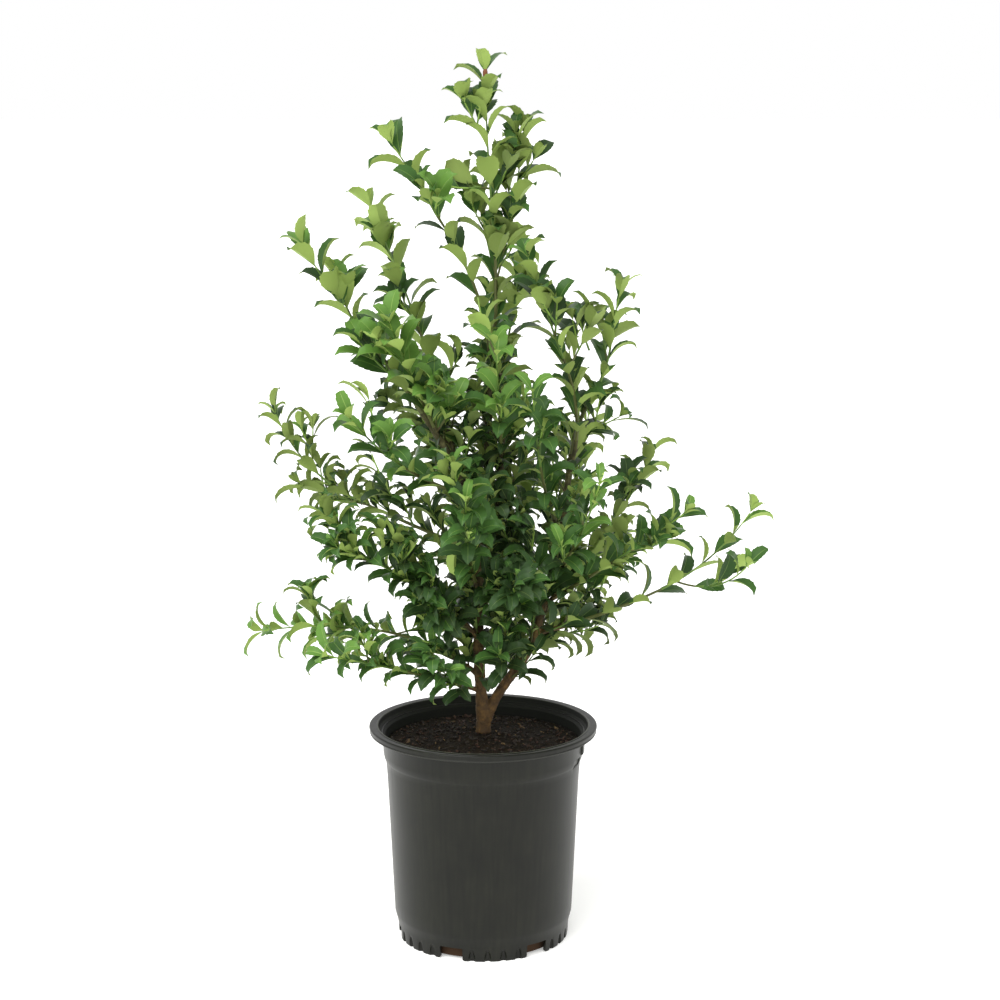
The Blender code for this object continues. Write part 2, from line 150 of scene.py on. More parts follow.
bpy.ops.mesh.primitive_plane_add(size=FLOOR_SIZE)
floor = bpy.context.object
floor.name = "floor"
floor_paint = new_material("white_floor_paint", Base_Color=linear(FLOOR_COLOUR), Roughness=0.9,
                           Emission_Color=linear(FLOOR_COLOUR), Emission_Strength=FLOOR_GLOW)
floor.data.materials.append(floor_paint)

for name, bearing, rise, strength, spread in LIGHTS:
    bpy.ops.object.light_add(type="SUN", rotation=(0, math.radians(90 - rise), math.radians(bearing)))
    light = bpy.context.object
    light.name = name
    light.data.energy = strength
    light.data.angle = math.radians(spread)
world = bpy.data.worlds.new("white_surround")
bpy.context.scene.world = world
world.use_nodes = True
up = node(world, "SeparateXYZ", Vector=node(world, "TexCoord").outputs["Generated"])
fade = node(world, "MapRange", Value=up.outputs["Z"], From_Min=FADE_FROM,
            To_Min=HORIZON_STRENGTH, To_Max=ZENITH_STRENGTH)
fill_sockets(world, world.node_tree.nodes["Background"],
             {"Color": (1.0, 1.0, 1.0, 1.0), "Strength": fade.outputs["Result"]})

# Pot
# A nursery pot of black high-density polythene, blown in one piece: a body that widens upwards, a band
# under a thick rounded lip, stacking lugs in that band, and a skirt parted into six fluted feet so that
# water drains.
POT_SIDES = 216
POT_HEIGHT = 0.2205
LIP_RADIUS = 0.1149
LIP_FOOT = POT_HEIGHT - 0.0070
MOUTH_RADIUS = 0.1055
BAND_RADIUS = 0.0992
BAND_FOOT = 0.1700
STEP_HEIGHT = 0.1845  # where the band steps out over the body
BODY_TOP_RADIUS = 0.0962
BODY_FOOT_RADIUS = 0.0900
BODY_FOOT = 0.0268
SKIRT_RADIUS = 0.0860
SKIRT_HEIGHT = 0.0150
SKIRT_WALL = 0.0035
BASE_RADIUS = 0.0785
BASE_HEIGHT = 0.0020
WALL = 0.0022
FLOOR_THICK = 0.0030
PAD_RADIUS = 0.0200
FOOT_COUNT = 6
FOOT_BEARING = 278.5
FOOT_GAP_DEGREES = 16.0
FOOT_GAP_HEIGHT = 0.0132
FOOT_CORNER = 0.0016
FLUTES_A_FOOT = 4
FLUTE_PITCH = 10.5
FLUTE_RADIUS = 0.0036
FLUTE_OUT = FLUTE_RADIUS / 6  # how far a flute's middle stands out from the skirt
FLUTE_HEIGHT = 0.0120
RIB_HEIGHT = 0.0090  # above the step, where the band's face begins
# Between which heights each is, its bearing, half its width in degrees, its edge and how far out it stands
LUG = (STEP_HEIGHT + RIB_HEIGHT, LIP_FOOT, 351.0, 4.5, 0.0010, 0.0018)
POCKET = (STEP_HEIGHT, STEP_HEIGHT + RIB_HEIGHT, 340.0, 5.5, 0.0008, -0.0014)
EDGE_ROUNDING = 0.0006
SHARP_FROM = 32.0
SMOOTH_UP_TO = 38.0


def activate(piece):
    """Makes this piece the only one selected."""
    bpy.ops.object.select_all(action="DESELECT")
    piece.select_set(True)
    bpy.context.view_layer.objects.active = piece


def turn_rings(name, profile, sides):
    """A closed round piece: a filled circle, a ring extruded for each further row, and a cap."""
    (first_radius, first_height), *_ = profile
    bpy.ops.mesh.primitive_circle_add(vertices=sides, radius=first_radius, fill_type="NGON",
                                      location=(0, 0, first_height))
    piece = bpy.context.object
    piece.name = name
    activate(piece)
    bpy.ops.object.transform_apply(location=True)
    bpy.ops.object.mode_set(mode="EDIT")
    bpy.ops.mesh.select_mode(type="EDGE")
    bpy.ops.mesh.select_all(action="SELECT")
    for (radius, height), (wider, higher) in zip(profile, profile[1:]):
        bpy.ops.mesh.extrude_edges_move(TRANSFORM_OT_translate={"value": (0, 0, higher - height)})
        share = wider / radius
        bpy.ops.transform.resize(value=(share, share, 1), center_override=(0, 0, 0))
    bpy.ops.mesh.edge_face_add()
    bpy.ops.mesh.select_all(action="SELECT")
    bpy.ops.mesh.normals_make_consistent(inside=False)
    bpy.ops.object.mode_set(mode="OBJECT")
    return piece


def select_faces(piece, wanted):
    """In edit mode, selects the faces that the test wants, by their middle and normal."""
    bpy.ops.mesh.select_mode(type="FACE")
    bpy.ops.mesh.select_all(action="DESELECT")
    form = bmesh.from_edit_mesh(piece.data)
    for face in form.faces:
        face.select = wanted(face.calc_center_median(), face.normal)
    form.select_flush_mode()
    bmesh.update_edit_mesh(piece.data)


def apply_modifier(piece, kind, **settings):
    """Adds one modifier with its settings and applies it."""
    activate(piece)
    modifier = piece.modifiers.new(kind.lower(), kind)
    for name, value in settings.items():
        setattr(modifier, name, value)
    bpy.ops.object.modifier_apply(modifier=modifier.name)


def off_bearing(point, bearing):
    """Degrees from a bearing round the pot to a point's own."""
    own = math.degrees(math.atan2(point.y, point.x))
    return (own - bearing + 180) % 360 - 180


# Rings from the pad under the pot up to the mouth, in groups: a radius, a height, and how far out and up
# from those each ring is, in tenths of a millimetre
TENTHS_IN_METRE = 10000
RING_GROUPS = (
    (PAD_RADIUS, BASE_HEIGHT, ((0, -20), (0, 0))),
    (BASE_RADIUS, BASE_HEIGHT, ((0, 0),)),
    (BASE_RADIUS, SKIRT_HEIGHT, ((0, 0),)),
    (SKIRT_RADIUS - SKIRT_WALL, SKIRT_HEIGHT, ((0, 0), (0, -150))),
    (SKIRT_RADIUS, 0.0, ((-8, 0), (0, 10), (2, 30))),
    (SKIRT_RADIUS, SKIRT_HEIGHT, ((8, -10), (18, 40), (30, 80))),
    (BODY_FOOT_RADIUS, BODY_FOOT, ((0, 0), (6, 130))),
    (BODY_TOP_RADIUS, BAND_FOOT, ((0, -120), (6, -10), (14, 90))),
    (BODY_TOP_RADIUS, STEP_HEIGHT, ((19, 0), (27, 18))),
    (BAND_RADIUS, STEP_HEIGHT, ((6, 38),)),
    (BAND_RADIUS, STEP_HEIGHT + RIB_HEIGHT, ((15, 0),)),
    (BAND_RADIUS, LIP_FOOT, ((20, 0),)),
    (LIP_RADIUS, LIP_FOOT, ((-14, 0), (-8, 5), (-7, 14), (-11, 22))),
    (LIP_RADIUS, POT_HEIGHT, ((-2, -20), (-3, -10), (-10, -3), (-22, -1))),
    (MOUTH_RADIUS, POT_HEIGHT, ((24, -8), (16, -2), (9, 0), (2, -4))),
)
outer_wall = [(radius + out / TENTHS_IN_METRE, height + rise / TENTHS_IN_METRE)
              for radius, height, rings in RING_GROUPS for out, rise in rings]
pot_inside = [  # radius and height of each ring, down from the mouth
    (MOUTH_RADIUS, POT_HEIGHT - WALL / 2),
    (MOUTH_RADIUS - 0.0008, LIP_FOOT + 0.0020),
    (BAND_RADIUS - 0.0006, LIP_FOOT - 0.0030),
    (BAND_RADIUS - WALL, BAND_FOOT + FLOOR_THICK),
    (BODY_TOP_RADIUS - WALL, BAND_FOOT - FLOOR_THICK),
    (BODY_FOOT_RADIUS - WALL, BODY_FOOT + FLOOR_THICK),
    (BODY_FOOT_RADIUS - 2 * WALL, SKIRT_HEIGHT + FLOOR_THICK),
]
pot = turn_rings("nursery_pot", outer_wall + pot_inside, POT_SIDES)

# The skirt is parted into feet with rounded flutes, and the band has a lug and a pocket on each side.
foot_pitch = 360.0 / FOOT_COUNT
gap_width = 2 * SKIRT_RADIUS * math.sin(math.radians(FOOT_GAP_DEGREES / 2))
flared = 1 + 2 * FOOT_CORNER / gap_width
cutters = []
for number in range(FOOT_COUNT):
    height = FOOT_GAP_HEIGHT - FOOT_CORNER
    bpy.ops.mesh.primitive_cube_add(size=1, location=(SKIRT_RADIUS, 0, FOOT_CORNER + height / 2),
                                    scale=(4 * SKIRT_WALL, gap_width, height))
    cutter = bpy.context.object
    bpy.ops.object.transform_apply(location=True, scale=True)
    bpy.ops.object.mode_set(mode="EDIT")
    select_faces(cutter, lambda middle, normal: normal.z < -0.5)
    bpy.ops.mesh.extrude_region_move(TRANSFORM_OT_translate={"value": (0, 0, -FOOT_CORNER)})
    bpy.ops.transform.resize(value=(1, flared, 1), center_override=(0, 0, 0))
    bpy.ops.mesh.extrude_region_move(TRANSFORM_OT_translate={"value": (0, 0, -FOOT_CORNER)})
    bpy.ops.object.mode_set(mode="OBJECT")
    cutter.rotation_euler.z = math.radians(FOOT_BEARING + (number + 0.5) * foot_pitch)
    cutters.append(cutter)
    for flute in range(FLUTES_A_FOOT):
        bpy.ops.mesh.primitive_uv_sphere_add(segments=16, ring_count=12, radius=1,
                                             location=(SKIRT_RADIUS + FLUTE_OUT, 0, 0),
                                             scale=(FLUTE_RADIUS, FLUTE_RADIUS, FLUTE_HEIGHT))
        cutter = bpy.context.object
        bpy.ops.object.transform_apply(location=True, scale=True)
        off_middle = (flute - (FLUTES_A_FOOT - 1) / 2) * FLUTE_PITCH
        cutter.rotation_euler.z = math.radians(FOOT_BEARING + number * foot_pitch + off_middle)
        cutters.append(cutter)
activate(cutters[0])
for cutter in cutters:
    cutter.select_set(True)
bpy.ops.object.join()
apply_modifier(pot, "BOOLEAN", object=cutters[0], operation="DIFFERENCE", solver="EXACT")
bpy.data.objects.remove(cutters[0], do_unlink=True)

activate(pot)
bpy.ops.object.mode_set(mode="EDIT")
for around in (0.0, 180.0):
    for low, high, bearing, half, edge, out in (LUG, POCKET):
        select_faces(pot, lambda middle, normal: (
            low < middle.z < high and normal.xy.dot(middle.xy) > 0
            and abs(off_bearing(middle, bearing + around)) < half))
        bpy.ops.mesh.inset(thickness=edge, depth=out)
bpy.ops.mesh.select_all(action="DESELECT")
bpy.ops.object.mode_set(mode="OBJECT")
apply_modifier(pot, "BEVEL", width=EDGE_ROUNDING, segments=2, limit_method="ANGLE",
               angle_limit=math.radians(SHARP_FROM))
bpy.ops.object.shade_smooth_by_angle(angle=math.radians(SMOOTH_UP_TO))

# Black polythene: satin from the mould, a little grey with dust and faint upright scuffs
polythene = new_material("moulded_black_polythene", Specular_IOR_Level=0.24)
place = node(polythene, "TexCoord").outputs["Object"]
film = node(polythene, "TexNoise", Vector=place, Scale=22.0, Detail=5.0, Roughness=0.6)
drawn_up = node(polythene, "Mapping", Vector=place, Scale=(1.0, 1.0, 0.06))
scuffs = node(polythene, "TexNoise", Vector=drawn_up.outputs[0], Scale=260.0, Detail=3.0)
both = node(polythene, "Math", {"operation": "MULTIPLY"},
            numbered=(film.outputs["Fac"], scuffs.outputs["Fac"]))
shade = node(polythene, "ValToRGB", stops=((0.12, "0C0D08"), (0.48, "1A1B13")), Fac=both.outputs[0])
gloss = node(polythene, "MapRange", Value=scuffs.outputs["Fac"], To_Min=0.30, To_Max=0.44)
grain = node(polythene, "TexNoise", Vector=place, Scale=1400.0, Detail=2.0)
skin = node(polythene, "Bump", Strength=0.08, Distance=0.0002, Height=grain.outputs["Fac"])
set_finish(polythene, Base_Color=shade.outputs["Color"], Roughness=gloss.outputs["Result"],
           Normal=skin.outputs["Normal"])
pot.data.materials.append(polythene)

# The mouth's edge and the lip's foot carry painted highlights in a paler grey, the inside is painted
# darker as painted shade, and earth has stained the base between the feet.
for name, code, roughness, wanted in (
        # Painted highlight: a paler grey ring along the mouth's inner edge, where the rim catches the light.
        ("painted_highlight_polythene_mouth_edge", "4C4D47", 0.45, lambda middle, normal: (
            MOUTH_RADIUS < middle.xy.length < MOUTH_RADIUS + 0.0016 and middle.z > POT_HEIGHT - 0.0006)),
        # Painted highlight: a paler grey ring round the lip's foot, where its lower edge catches the light.
        ("painted_highlight_polythene_lip_foot", "2E2F2B", 0.45, lambda middle, normal: (
            LIP_RADIUS - 0.0015 < middle.xy.length and middle.z < LIP_FOOT + 0.0015)),
        # Painted shade: the wall inside the pot above the band gets a dark, duller polythene for the shade
        # under the leaves.
        ("painted_shade_polythene_inside", "171914", 0.60, lambda middle, normal: (
            middle.z > BAND_FOOT and middle.xy.length < MOUTH_RADIUS and normal.xy.dot(middle.xy) < 0)),
        ("earth_stained_polythene", "3A2A1D", 0.90, lambda middle, normal: (
            abs(middle.xy.length - BASE_RADIUS) < 0.0005 and middle.z < SKIRT_HEIGHT))):
    pot.data.materials.append(new_material(name, Base_Color=linear(code), Roughness=roughness,
                                           Specular_IOR_Level=0.16))
    pot.active_material_index = len(pot.data.materials) - 1
    bpy.ops.object.mode_set(mode="EDIT")
    select_faces(pot, wanted)
    bpy.ops.object.material_slot_assign()
    bpy.ops.object.mode_set(mode="OBJECT")
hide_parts("pot")
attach(pot, "root")

# Potting mix
# Damp composted bark, dark brown and crumbly, in a low mound round the trunk, with loose chips of bark on
# it: flakes split along their grain, in red-brown, dark brown and a few pale ones.
SOIL_TOP = 0.2115
SOIL_EDGE = 0.2015
MOUND_TOP_RADIUS = 0.0160
# Shares of the soil's radius, and of the way up from its edge to its top
MOUND = ((1.00, 0.00), (0.93, 0.03), (0.85, 0.08), (0.70, 0.20), (0.56, 0.40), (0.42, 0.62), (0.28, 0.84))
SOIL_SIDES = 120
SOIL_RINGS = 42
INNERMOST_RING = 0.02  # share of the soil's radius
SHRINKAGE = 0.0004
CRUMBLY_SHARE = 0.97  # the wall holds the outermost rim smooth
CRUMB_SIZE = 0.006
CRUMB_HEIGHT = 0.0042
GAP = 0.0003

up_band = (SOIL_EDGE - BAND_FOOT - FLOOR_THICK) / (LIP_FOOT - BAND_FOOT - FLOOR_THICK)
soil_radius = BAND_RADIUS - WALL + up_band * WALL - GAP - SHRINKAGE


def mound_height(radius):
    """Height of the mound's top at a distance from the pot's axis."""
    outs = [out * soil_radius for out, _ in MOUND] + [MOUND_TOP_RADIUS, 0.0]
    ups = [SOIL_EDGE + (SOIL_TOP - SOIL_EDGE) * up for _, up in MOUND] + [SOIL_TOP, SOIL_TOP]
    return float(np.interp(radius, outs[::-1], ups[::-1]))


soil_profile = [(radius - GAP, max(height, SKIRT_HEIGHT + FLOOR_THICK + GAP))
                for radius, height in reversed(pot_inside[3:])]
soil_profile += [(soil_radius * share, mound_height(soil_radius * share))
                 for share in np.linspace(1.0, INNERMOST_RING, SOIL_RINGS)]
soil = turn_rings("potting_mix", soil_profile, SOIL_SIDES)
crumbly = soil.vertex_groups.new(name="crumbly_top")
loose = [corner.index for corner in soil.data.vertices
         if corner.co.z > SOIL_EDGE + 0.0001 and corner.co.xy.length < CRUMBLY_SHARE * soil_radius]
crumbly.add(loose, 1.0, "REPLACE")
crumbs = bpy.data.textures.new("crumbs", "CLOUDS")
crumbs.noise_scale = CRUMB_SIZE
crumbs.noise_depth = 3
apply_modifier(soil, "DISPLACE", texture=crumbs, texture_coords="LOCAL", direction="Z",
               strength=CRUMB_HEIGHT, vertex_group="crumbly_top")
bpy.ops.object.shade_smooth()

compost = new_material("composted_bark_mix", Roughness=0.92, Specular_IOR_Level=0.2)
place = node(compost, "TexCoord").outputs["Object"]
lumps = node(compost, "TexVoronoi", Vector=place, Scale=420.0)
patches = node(compost, "TexNoise", Vector=place, Scale=160.0, Detail=6.0, Roughness=0.7)
mixed = node(compost, "Math", {"operation": "MULTIPLY"},
             numbered=(lumps.outputs["Distance"], patches.outputs["Fac"]))
earth = node(compost, "ValToRGB", stops=((0.36, "090602"), (0.70, "231909")),
             Fac=patches.outputs["Fac"])
crumble = node(compost, "Bump", Strength=0.9, Distance=0.002, Height=mixed.outputs[0])
set_finish(compost, Base_Color=earth.outputs["Color"], Normal=crumble.outputs["Normal"])
soil.data.materials.append(compost)
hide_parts("soil")
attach(soil, "root")


class Bundle:
    """Many small shapes gathered into one joined mesh."""

    def __init__(self):
        self.corners, self.faces, self.slots, self.count = [], [], [], 0

    def add(self, corners, faces, slots):
        """Adds one shape, with a material slot for each of its faces."""
        self.corners.append(corners)
        self.faces.extend([[corner + self.count for corner in face] for face in faces])
        self.slots.extend(slots)
        self.count += len(corners)

    def piece(self, name, materials):
        """The joined mesh as an object."""
        mesh = bpy.data.meshes.new(name)
        mesh.from_pydata(np.vstack(self.corners).tolist(), [], self.faces)
        for material in materials:
            mesh.materials.append(material)
        mesh.polygons.foreach_set("material_index", self.slots)
        made = bpy.data.objects.new(name, mesh)
        bpy.context.scene.collection.objects.link(made)
        return made


chip_materials = []
for name, dark, pale in (("red_brown_bark_chip", "1C1008", "3E2411"),
                         ("dark_bark_chip", "0E0A05", "261A0D"),
                         ("pale_bark_chip", "40311C", "6E5838")):
    material = new_material(name, Roughness=0.85)
    place = node(material, "TexCoord").outputs["Object"]
    fibres = node(material, "TexNoise", Vector=place, Scale=500.0, Detail=4.0)
    tone = node(material, "ValToRGB", stops=((0.35, dark), (0.68, pale)), Fac=fibres.outputs["Fac"])
    set_finish(material, Base_Color=tone.outputs["Color"])
    chip_materials.append(material)

CHIP_COUNT = 900
CHIP_SEED = 4
CHIP_MIX = (6, 12, 1)  # how often each kind comes
CHIP_SIZES = (0.0018, 0.0070)
CHIP_BREAKS = (0.5, 1)  # shares of its size that are left
CHIP_WIDTHS = (0.25, 0.6)  # shares of its size
CHIP_THICKNESSES = (0.0007, 0.0018)
CHIP_SPLITS = (0.6, 1.1)  # how far each corner stands out, against a whole block's
CHIP_RIM = 0.004  # no chip's middle is nearer to the wall
CHIP_LIFT = 0.0012
CHIP_TILT = 0.35  # radians, the spread of how the chips lie
BLOCK_FACES = ((0, 3, 2, 1), (4, 5, 6, 7), (0, 1, 5, 4), (1, 2, 6, 5), (2, 3, 7, 6), (3, 0, 4, 7))
BLOCK_CORNERS = 0.5 * np.array(((-1, -1, -1), (1, -1, -1), (1, 1, -1), (-1, 1, -1),
                                (-1, -1, 1), (1, -1, 1), (1, 1, 1), (-1, 1, 1)))
chance = random.Random(CHIP_SEED)
chips = Bundle()
for _ in range(CHIP_COUNT):
    radius = (soil_radius - CHIP_RIM) * math.sqrt(chance.uniform(0.008, 1))
    turn = chance.uniform(0, 2 * math.pi)
    long_side = chance.uniform(*CHIP_SIZES) * chance.uniform(*CHIP_BREAKS)
    wide_side = long_side * chance.uniform(*CHIP_WIDTHS)
    sides = np.array((long_side, wide_side, chance.uniform(*CHIP_THICKNESSES)))
    split = np.array([[chance.uniform(*CHIP_SPLITS) for _ in range(3)] for _ in range(8)])
    heading = chance.uniform(0, 2 * math.pi)
    along = np.array((math.cos(heading), math.sin(heading), chance.gauss(0, CHIP_TILT)))
    along /= np.linalg.norm(along)
    over = np.array((chance.gauss(0, CHIP_TILT), chance.gauss(0, CHIP_TILT), 1.0))
    over -= along * along.dot(over)
    over /= np.linalg.norm(over)
    turned = (BLOCK_CORNERS * sides * split) @ np.array((along, np.cross(over, along), over))
    rest = (radius * math.cos(turn), radius * math.sin(turn), mound_height(radius) + CHIP_LIFT)
    chips.add(turned + rest, BLOCK_FACES, chance.choices((0, 1, 2), CHIP_MIX) * len(BLOCK_FACES))
bark_chips = chips.piece("bark_chips", chip_materials)
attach(bark_chips, "root")

# Trunk, stems and boughs
# One short trunk forks into two stems. An old middle stem was cut off, and a slim leader grew past it. The
# bark is thin and brown, with fine cracks and small raised pores, and the wood swells at each fork.
# Each row is a limb: name, parent, place along the parent, length, share that is bare, radius at its foot,
# and its headings (bearing, rise) from foot to tip.
LIMBS = (
    ("trunk", None, 0.00, 0.013, 1.00, 0.0075, ((0, 86), (0, 86))),
    ("left", "trunk", 1.00, 0.539, 0.62, 0.0060,
     ((200, 83), (269, 80), (278, 84), (197, 60), (193, 55), (194, 52), (197, 62))),
    ("right", "trunk", 0.90, 0.464, 0.62, 0.0054,
     ((7, 66), (9, 50), (18, 77), (19, 72), (43, 83), (28, 81), (13, 57), (25, 83), (28, 73))),
    ("pruned", "left", 0.21, 0.240, 1.00, 0.0042, ((19, 73), (54, 83), (123, 83))),
    ("leader", "pruned", 0.35, 0.457, 0.36, 0.0030, ((176, 79), (6, 83), (172, 85), (136, 89))),
    ("inner_left", "leader", 0.31, 0.270, 0.16, 0.0020, ((300, 80), (192, 62), (190, 55))),
    ("high_left", "left", 0.50, 0.290, 0.14, 0.0022, ((115, 63), (129, 59), (135, 56))),
    ("inner_right", "right", 0.58, 0.250, 0.16, 0.0022, ((300, 60), (221, 64), (226, 65))),
    ("right_mid", "right", 0.26, 0.215, 0.16, 0.0024, ((40, 47), (33, 40), (49, 57))),
    ("front_centre", "right", 0.44, 0.220, 0.13, 0.0022, ((244, 48), (260, 51), (266, 49))),
    ("right_low", "right", 0.288, 0.190, 0.13, 0.0022, ((330, 32), (335, 38))),
    ("right_long", "right", 0.222, 0.260, 0.13, 0.0025, ((3, 13), (3, 25), (5, 58))),
    ("front_left", "left", 0.44, 0.185, 0.16, 0.0021, ((219, 18), (234, 44))),
    ("left_mid", "left", 0.33, 0.275, 0.13, 0.0025, ((157, 16), (158, 20), (137, 60))),
    ("left_low", "left", 0.163, 0.210, 0.13, 0.0023, ((223, 45), (216, 22))),
    ("left_bottom", "left", 0.085, 0.235, 0.13, 0.0024, ((188, 42), (186, 10), (186, -9))),
    ("front_bottom", "left", 0.056, 0.190, 0.14, 0.0022, ((214, 22), (213, 16))),
    ("front_low", "left", 0.26, 0.200, 0.13, 0.0022, ((262, 28), (272, 46))),
    ("front_right", "right", 0.33, 0.195, 0.13, 0.0022, ((292, 34), (284, 50))),
    ("front_mid", "pruned", 0.62, 0.175, 0.13, 0.0020, ((270, 44), (262, 60))),
    ("front_young", "right", 0.118, 0.150, 0.15, 0.0018, ((262, 44), (256, 66))),
    ("back_low", "left", 0.20, 0.225, 0.13, 0.0023, ((102, 22), (96, 44))),
    ("back_right", "right", 0.38, 0.215, 0.13, 0.0023, ((74, 30), (78, 50))),
    ("back_mid", "pruned", 0.48, 0.200, 0.13, 0.0021, ((88, 44), (96, 62))),
    ("back_left", "left", 0.40, 0.190, 0.13, 0.0021, ((128, 34), (112, 56))),
    ("back_bottom", "right", 0.165, 0.200, 0.13, 0.0021, ((55, 14), (62, 34))),
    ("back_top", "leader", 0.22, 0.195, 0.14, 0.0019, ((62, 58), (74, 68))),
    ("front_inner", "right", 0.31, 0.160, 0.14, 0.0019, ((222, 44), (246, 64))),
    ("front_high", "left", 0.56, 0.170, 0.14, 0.0019, ((252, 40), (238, 58))),
)
# Forks are strong side shoots inside a mass: its limb, place along the limb, length and headings.
FORKS = (
    ("leader", 0.54, 0.155, ((38, 70), (70, 77))),
    ("right_long", 0.58, 0.095, ((323, -11), (314, 47))),
    ("left_mid", 0.46, 0.080, ((155, 7), (154, 15))),
    ("right", 0.66, 0.050, ((345, 20), (350, 30))),
)
STEMS = ("left", "right", "pruned", "leader")
PATH_STEPS = 48
LIMB_TIP_RADIUS = 0.0013
TRUNK_FLARE = 1.08
FLARE_SHARE = 0.45
PRUNED_TIP_SHARE = 0.72
RING_SPACING = 0.0018  # fine enough for the cracks
FEWEST_RINGS = 6
SCAR_SPACING = 0.0140
SCAR_RISE = 0.00014
SCAR_SHARPNESS = 8
SWELLING = 0.45  # how much thicker a limb is where it leaves its parent
SWELLING_REACH = 3  # in foot radii, past the parent's side
CAP_HEIGHT = 0.4  # how far a tube's pointed ends stand out, in its radii


def heading_vector(bearing, rise):
    bearing, rise = math.radians(bearing), math.radians(rise)
    level = math.cos(rise)
    return np.array((level * math.cos(bearing), level * math.sin(bearing), math.sin(rise)))


def grow_path(foot, headings, length):
    """Points from the foot to the tip of a shoot that turns evenly from each heading to the next."""
    vectors = [heading_vector(*heading) for heading in headings]
    points = [np.array(foot, float)]
    for step in range(PATH_STEPS):
        place = (step + 0.5) / PATH_STEPS * (len(vectors) - 1)
        index = min(int(place), len(vectors) - 2)
        blend = place - index
        direction = vectors[index] * (1 - blend) + vectors[index + 1] * blend
        direction /= np.linalg.norm(direction)
        points.append(points[-1] + direction * length / PATH_STEPS)
    return np.array(points)


def point_at(path, share):
    place = share * (len(path) - 1)
    index = min(int(place), len(path) - 2)
    return path[index] + (path[index + 1] - path[index]) * (place - index)


def direction_at(path, share):
    index = min(int(share * (len(path) - 1)), len(path) - 2)
    direction = path[index + 1] - path[index]
    return direction / np.linalg.norm(direction)


class Limb:
    """One limb and, past its bare share, the stem of its mass of foliage."""

    def __init__(self, row, limbs):
        self.name, parent, self.place, self.length, self.bare, self.foot_radius, headings = row
        self.parent = limbs.get(parent)
        foot = (0, 0, SOIL_TOP + GAP) if parent is None else point_at(self.parent.path, self.place)
        self.path = grow_path(foot, headings, self.length)
        self.leafy_path = self.path[round(self.bare * PATH_STEPS):]
        self.leafy_length = self.length * (1 - self.bare)

    def radius(self, share):
        """The limb tapers evenly to its tip, and the trunk flares at its foot."""
        if self.name == "trunk":
            return self.foot_radius * (1 + (TRUNK_FLARE - 1) * max(0.0, 1 - share / FLARE_SHARE) ** 2)
        tip = self.foot_radius * PRUNED_TIP_SHARE if self.name == "pruned" else LIMB_TIP_RADIUS
        return self.foot_radius + (tip - self.foot_radius) * share

    def bark_radius(self, share):
        """The radius with the swelling where the limb leaves its parent and the rings of old scars."""
        radius = self.radius(share)
        out = share * self.length
        radius += SCAR_RISE * max(0.0, math.cos(2 * math.pi * out / SCAR_SPACING)) ** SCAR_SHARPNESS
        if self.parent is None:
            return radius
        collar = self.parent.radius(self.place)
        reach = collar + SWELLING_REACH * self.foot_radius
        swollen = radius * (1 + SWELLING * max(0.0, 1 - out / reach))
        return max(radius, min(swollen, collar))


def tube(points, radii, sides):
    """Corners and faces of a closed tube about the points."""
    points = np.asarray(points)
    ahead = np.diff(points, axis=0)
    ahead = np.vstack([ahead, ahead[-1:]])
    ahead /= np.linalg.norm(ahead, axis=1)[:, None]
    across = np.array(Vector(ahead[0]).orthogonal().normalized())
    turns = np.arange(sides)[:, None] * 2 * math.pi / sides
    rings = []
    for point, direction, radius in zip(points, ahead, radii):
        across = across - direction * across.dot(direction)
        across /= np.linalg.norm(across)
        square = np.cross(direction, across)
        rings.append(point + radius * (np.cos(turns) * across + np.sin(turns) * square))
    foot = points[0] - ahead[0] * radii[0] * CAP_HEIGHT
    tip = points[-1] + ahead[-1] * radii[-1] * CAP_HEIGHT
    corners = np.vstack(rings + [foot, tip])
    faces = []
    for near in range(0, (len(points) - 1) * sides, sides):
        for side in range(sides):
            following = (side + 1) % sides
            faces.append((near + side, near + following, near + sides + following, near + sides + side))
    last = (len(points) - 1) * sides
    foot, tip = len(corners) - 2, len(corners) - 1
    faces += [(foot, (side + 1) % sides, side) for side in range(sides)]
    faces += [(tip, last + side, last + (side + 1) % sides) for side in range(sides)]
    return corners, faces


# Thin matt bark with fine cracks and pale pores: brown low down, olive higher up where the wood is younger
BROWN_UP_TO = 0.26
OLIVE_FROM = 0.44
CRACK_SIZE = 0.0035
bark = new_material("thin_holly_bark", Roughness=0.82)
place = node(bark, "TexCoord").outputs["Object"]
clouds = node(bark, "TexNoise", Vector=place, Scale=90.0, Detail=6.0, Roughness=0.65)
by_age = []
for dark, middling, pale in (("2B1E0D", "523C1D", "80602F"), ("26240F", "474424", "6B6840")):
    tones = node(bark, "ValToRGB", stops=((0.30, dark), (0.72, pale), (0.52, middling)),
                 Fac=clouds.outputs["Fac"])
    by_age.append(tones.outputs["Color"])
up = node(bark, "SeparateXYZ", Vector=place)
younger = node(bark, "MapRange", Value=up.outputs["Z"], From_Min=BROWN_UP_TO, From_Max=OLIVE_FROM)
blended = node(bark, "MixRGB", Fac=younger.outputs["Result"], Color1=by_age[0], Color2=by_age[1])
pores = node(bark, "TexVoronoi", Vector=place, Scale=520.0)
cracked = node(bark, "TexNoise", Vector=place, Scale=700.0, Detail=4.0)
height = node(bark, "Math", {"operation": "ADD"},
              numbered=(pores.outputs["Distance"], cracked.outputs["Fac"]))
raised = node(bark, "Bump", Strength=0.5, Distance=0.0006, Height=height.outputs[0])
set_finish(bark, Base_Color=blended.outputs["Color"], Normal=raised.outputs["Normal"])
cut_wood = new_material("weathered_cut_wood", Base_Color=linear("8F8672"), Roughness=0.9)

limbs = {}
for row in LIMBS:
    limbs[row[0]] = Limb(row, limbs)
boughs = [name for name in limbs if name not in ("trunk",) + STEMS]
